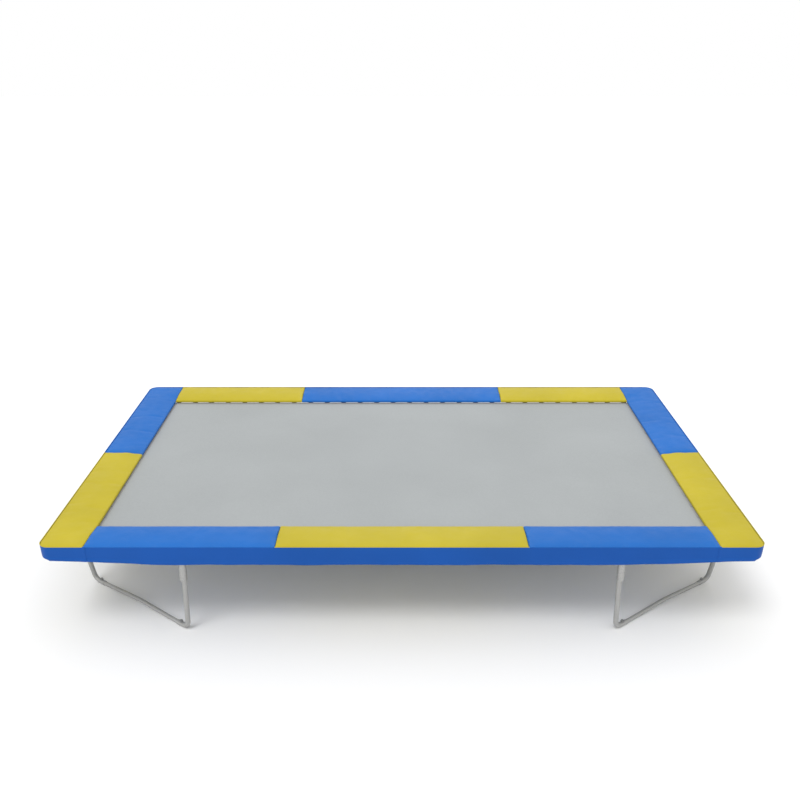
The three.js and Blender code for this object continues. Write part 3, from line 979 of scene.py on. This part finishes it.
def outline(start, end, inset, step):
    """Points along the cover's outer edge, each with its direction outward, from one plan
    point to another anticlockwise at this inset. Every seam has a point."""
    half_x, half_y = COVER_X - inset, COVER_Y - inset
    radius = COVER_CORNER - inset
    cx, cy = half_x - radius, half_y - radius
    ring = []

    def run(stops, out):
        for a, b in zip(stops, stops[1:]):
            count = max(1, math.ceil(math.hypot(b[0] - a[0], b[1] - a[1]) / step))
            ring.extend((part_way(a, b, k / count), out) for k in range(count))

    def bend(centre, quarter):
        for k in range(BEND_STEPS):
            angle = math.radians(90 * quarter + 90 * k / BEND_STEPS)
            out = (math.cos(angle), math.sin(angle))
            ring.append(((centre[0] + radius * out[0], centre[1] + radius * out[1]), out))

    front = (-cx, -INNER_X, -FRONT_SEAM, FRONT_SEAM, INNER_X, cx)
    back = (cx, INNER_X, BACK_SEAM, -BACK_SEAM, -INNER_X, -cx)
    run([(x, -half_y) for x in front], (0, -1))
    bend((cx, -cy), -1)
    run([(half_x, y) for y in (-cy, 0, cy)], (1, 0))
    bend((cx, cy), 0)
    run([(x, half_y) for x in back], (0, 1))
    bend((-cx, cy), 1)
    run([(-half_x, y) for y in (cy, 0, -cy)], (-1, 0))
    bend((-cx, -cy), 2)

    def nearest(point):
        return min(range(len(ring)), key=lambda k: math.dist(ring[k][0], point))

    first, last = nearest(start), nearest(end)
    if last <= first:
        last += len(ring)
    return [ring[k % len(ring)] for k in range(first, last + 1)]


PIPING_RADIUS = 0.0027
PIPING_DROP = 0.0042  # its centre, below the cover's top
PIPING_SIDES = 8
PIPING_STEP = 0.04
PIPING_EDGE = 60  # degrees
SKIRT_TOP = COVER_TOP - PIPING_DROP
SKIRT_DROP = SKIRT_TOP - SKIRT_BOTTOM


def make_piping():
    """The cord sewn in where the top of the cover meets its skirt."""
    places = list(SEAMS)
    for place, colour in PANEL_COLOURS.items():
        after = places[(places.index(place) + 1) % len(places)]
        edge = outline(SEAMS[place], SEAMS[after], PIPING_RADIUS, PIPING_STEP)
        material, slot = VINYLS[colour]
        shape = Shape()
        wire(shape, [(x, y, SKIRT_TOP) for (x, y), _ in edge], PIPING_RADIUS, PIPING_SIDES)
        piece = recalculated(shape.object(f"piping_{place}", material))
        smooth_by_angle(piece, PIPING_EDGE)
        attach(piece, "cover")


# ---------- skirt ----------

SKIRTS = {  # the panel whose seam each starts at, and the one it ends at
    "front": ("front_left", "right_front"), "right": ("right_front", "back_right"),
    "back": ("back_right", "left_back"), "left": ("left_back", "front_left"),
}
SKIRT_THICK = 0.0016
SKIRT_INSET = 0.0022
SKIRT_STEP = 0.025
SKIRT_LEAN = 0.002  # how far the hem hangs in under the fold
SKIRT_EDGE = 55  # degrees
HEM_HEIGHT = 0.022
HEM_THICK = 0.0036
CORNER_RISE = 0.029  # the hem's, at the corners
CORNER_REACH = 0.9
CORNER_TUCK = 0.018
CORNER_TUCK_START = 0.72  # a share of the skirt's drop
SKIRT_OVERLAP = 0.015
LAP_LIFT = 0.0018
LAP_REACH = 1.6  # in overlaps, from the end: where the lap lies flat again
LAP_STITCHES = (0.06, 0.76)  # where they start, and how far they run, as shares of the drop
WAVES = ((0.0021, 1.13, 0.4), (0.0015, 0.61, 2.1), (0.0009, 0.33, 4.4))  # size, length, phase
WAVE_RUN = (1.3, 1.7)  # how fast they run along X, and along Y


def hem_rise(x, y):
    """How much shorter the skirt is here, near a corner."""
    away = math.dist((abs(x), abs(y)), (COVER_X, COVER_Y))
    return CORNER_RISE * smoothstep(1 - away / CORNER_REACH)


def ripple(x, y):
    """How far the hem waves out at this point of the plan."""
    along = x * WAVE_RUN[0] + y * WAVE_RUN[1]
    return sum(size * math.sin(2 * math.pi * along / length + phase) for size, length, phase in WAVES)


def skirt_rows():
    """Shares of the way down from the fold to the hem, and the thickness at each."""
    free = SKIRT_DROP - HEM_HEIGHT
    rows = [(free * k / 6, SKIRT_THICK) for k in range(6)]
    rows += [
        (free - 0.0012, SKIRT_THICK),
        (free, HEM_THICK * 0.9),
        (free + 0.002, HEM_THICK),
        (free + HEM_HEIGHT / 2, HEM_THICK),
        (SKIRT_DROP - 0.0022, HEM_THICK),
        (SKIRT_DROP - 0.0005, HEM_THICK * 0.7),
        (SKIRT_DROP, HEM_THICK * 0.3),
    ]
    return [(down / SKIRT_DROP, thick) for down, thick in rows]


def skirt_point(place, out, share, lift):
    """A point of the skirt, this share of the way down its drop."""
    x, y = place
    corner = smoothstep((abs(out[0] * out[1]) * 2) ** 0.5)
    under = max(0.0, (share - CORNER_TUCK_START) / (1 - CORNER_TUCK_START))
    tuck = CORNER_TUCK * corner * (1 - math.sqrt(1 - under**2))
    inward = SKIRT_LEAN * share + tuck - ripple(x, y) * share**1.4 - lift
    drop = SKIRT_DROP - hem_rise(x, y)
    return (x - out[0] * inward, y - out[1] * inward, SKIRT_TOP - drop * share)


def lap_lift(along, length, lapped):
    """How far a skirt's end stands out where it laps over its neighbour."""
    from_end = min(along, length - along)
    return LAP_LIFT * smoothstep(LAP_REACH - from_end / SKIRT_OVERLAP) if lapped else 0.0


def stitched_lines(path, along, lapped):
    """The lines that a skirt is stitched along, on its outer face."""

    def on_face(k, share, thick):
        place, out = path[k]
        lift = lap_lift(along[k], along[-1], lapped) + thick / 2
        return skirt_point(place, out, share, lift)

    lines = []
    fold = (FOLD_STITCH / SKIRT_DROP, SKIRT_THICK)
    hem = (1 - HEM_STITCH / SKIRT_DROP, HEM_THICK)
    for share, thick in (fold, hem):
        lines.append([on_face(k, share, thick) for k in range(len(path))])
    if lapped:
        start, span = LAP_STITCHES
        shares = [start + span * n / 10 for n in range(11)]
        for k in (1, len(path) - 2):
            lines.append([on_face(k, share, SKIRT_THICK) for share in shares])
    return lines


def make_skirts():
    """The four skirts, and the lines that they are stitched along."""
    lines = []
    rows = skirt_rows()
    for side, (start, end) in SKIRTS.items():
        path = outline(SEAMS[start], SEAMS[end], SKIRT_INSET, SKIRT_STEP)
        lapped = side in ("left", "right")
        if lapped:
            ends = path[0], path[-1]
            first, last = [((x - math.copysign(SKIRT_OVERLAP, x), y), out) for (x, y), out in ends]
            path = [first, *path, last]
        along = [0.0]
        for (a, _), (b, _) in zip(path, path[1:]):
            along.append(along[-1] + math.dist(a, b))
        lifts = [lap_lift(s, along[-1], lapped) for s in along]
        grid = [
            [skirt_point(place, out, share, lift) for (place, out), lift in zip(path, lifts)]
            for share, _ in rows
        ]
        lines += stitched_lines(path, along, lapped)
        shape = thin_shell(grid, [thickness for _, thickness in rows])
        piece = recalculated(shape.object(f"skirt_band_{side}", skirt_vinyl))
        smooth_by_angle(piece, SKIRT_EDGE)
        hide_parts(f"skirt_{side}")
        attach(piece, "cover")
    return lines


# ---------- stitching ----------

STITCH_PITCH = 0.0066
STITCH_LENGTH = 0.0046
STITCH_SHARE = STITCH_LENGTH / STITCH_PITCH
THREAD_RADIUS = 0.00055
THREAD_PROUD = 0.4  # how far a stitch's middle stands out, and its ends lie sunk, in radii
THREAD_SUNK = 0.5
PAD_STITCH_INSET = 0.0105
HEM_STITCH = 0.0185  # above the hem
FOLD_STITCH = 0.0075  # under the piping


def stitch(shape, start, end, normal):
    """One stitch of thread, lying on a surface and going into it at both ends."""
    along = (end - start).normalized()
    across = along.cross(normal).normalized()
    middle = (start + end) / 2 + normal * THREAD_RADIUS * THREAD_PROUD
    ring = [middle + axis * THREAD_RADIUS for axis in (across, normal, -across, -normal)]
    sunk = normal * THREAD_RADIUS * THREAD_SUNK
    points = [start - sunk, *ring, end - sunk]
    faces = []
    for k in range(4):
        a, b = 1 + k, 1 + (k + 1) % 4
        faces += [(0, b, a), (5, a, b)]
    shape.add(points, faces)


def spaced(path, pitch):
    """The points of the path again, evenly spaced."""
    path = np.array(path)
    lengths = np.linalg.norm(np.diff(path, axis=0), axis=1)
    along = np.concatenate([[0], np.cumsum(lengths)])
    at = np.arange(0, along[-1], pitch)
    return np.stack([np.interp(at, along, path[:, k]) for k in range(path.shape[1])], axis=1)


def stitch_pads(pads):
    """A row of stitches round the top of each panel, on the fabric as it lies."""
    shapes = {colour: Shape() for colour in VINYLS}
    graph = bpy.context.evaluated_depsgraph_get()
    for place, (panel, piece) in pads.items():
        surface = BVHTree.FromObject(piece, graph)
        left, front = (v + PAD_STITCH_INSET for v in panel.low.xy)
        right, back = (v - PAD_STITCH_INSET for v in panel.high.xy)
        corners = [(left, front), (right, front), (right, back), (left, back)]
        for ends_of_edge in zip(corners, corners[1:] + corners[:1]):
            edge = spaced(ends_of_edge, STITCH_PITCH / 4)
            plan = spaced([panel.plan(x, y) for x, y in edge], STITCH_PITCH)
            for a, b in zip(plan, plan[1:]):
                ends = []
                for x, y in (a, part_way(a, b, STITCH_SHARE)):
                    hit, normal, _, _ = surface.ray_cast(Vector((x, y, 1)), Vector((0, 0, -1)))
                    ends.append((hit, normal))
                if all(hit for hit, _ in ends):
                    normal = (ends[0][1] + ends[1][1]).normalized()
                    stitch(shapes[PANEL_COLOURS[place]], ends[0][0], ends[1][0], normal)
    for colour, shape in shapes.items():
        piece = shape.object(f"pad_stitches_{colour}", THREADS[colour], smooth=False)
        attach(piece, "cover")


def stitch_skirts(lines):
    """Rows of stitches along the hem and the fold, and down each lap."""
    shape = Shape()
    for line in lines:
        points = spaced(line, STITCH_PITCH)
        for a, b in zip(points, points[1:]):
            start = Vector(a)
            end = start.lerp(Vector(b), STITCH_SHARE)
            stitch(shape, start, end, outward(start))
    piece = shape.object("skirt_stitches", skirt_thread, smooth=False)
    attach(piece, "cover")


def outward(point):
    """The level direction out of the cover at this point of its skirt."""
    centre = Vector((
        max(-COVER_X + COVER_CORNER, min(COVER_X - COVER_CORNER, point.x)),
        max(-COVER_Y + COVER_CORNER, min(COVER_Y - COVER_CORNER, point.y)),
        point.z,
    ))
    return (point - centre).normalized()


padded_panels = make_pads()
make_piping()
skirt_lines = make_skirts()
stitch_pads(padded_panels)
stitch_skirts(skirt_lines)

# ---------- floor and light ----------

FLOOR_GREY = 0.9
FLOOR_SIZE = 60.0  # from the middle to each side
WORLD_STRENGTH = 1.0
SUN_STRENGTH = 0.95
SUN_SIZE = 25  # degrees, for soft shadows
SUN_FROM = (-3.5, -4.5, 10.0)
LAMP_POWER = 60.0
LAMP_SIZE = 4.0
LAMP_FROM = (0.5, 6.5, 5.5)


def make_stage():
    """The pale floor, the white surroundings, a soft sun and a lamp behind."""
    look = Nodes("floor", roughness=0.9)
    look.shader.inputs["Base Color"].default_value = (FLOOR_GREY, FLOOR_GREY, FLOOR_GREY, 1)
    shape = Shape()
    shape.add([(x * FLOOR_SIZE, y * FLOOR_SIZE, 0) for x, y in SQUARE], [(0, 1, 2, 3)])
    shape.object("floor", look.material)

    world = bpy.data.worlds.new("studio")
    world.use_nodes = True
    background = world.node_tree.nodes["Background"]
    background.inputs["Color"].default_value = (1.0, 1.0, 1.0, 1)
    background.inputs["Strength"].default_value = WORLD_STRENGTH
    bpy.context.scene.world = world

    sun = bpy.data.lights.new("sun", "SUN")
    sun.energy = SUN_STRENGTH
    sun.angle = math.radians(SUN_SIZE)
    back = bpy.data.lights.new("back", "AREA")
    back.energy = LAMP_POWER
    back.size = LAMP_SIZE
    for light, place in ((sun, SUN_FROM), (back, LAMP_FROM)):
        lamp = placed(light.name, light)
        lamp.location = place
        lamp.rotation_euler = (-Vector(place)).to_track_quat("-Z", "Y").to_euler()
    bpy.context.scene.view_settings.view_transform = "Standard"


make_stage()
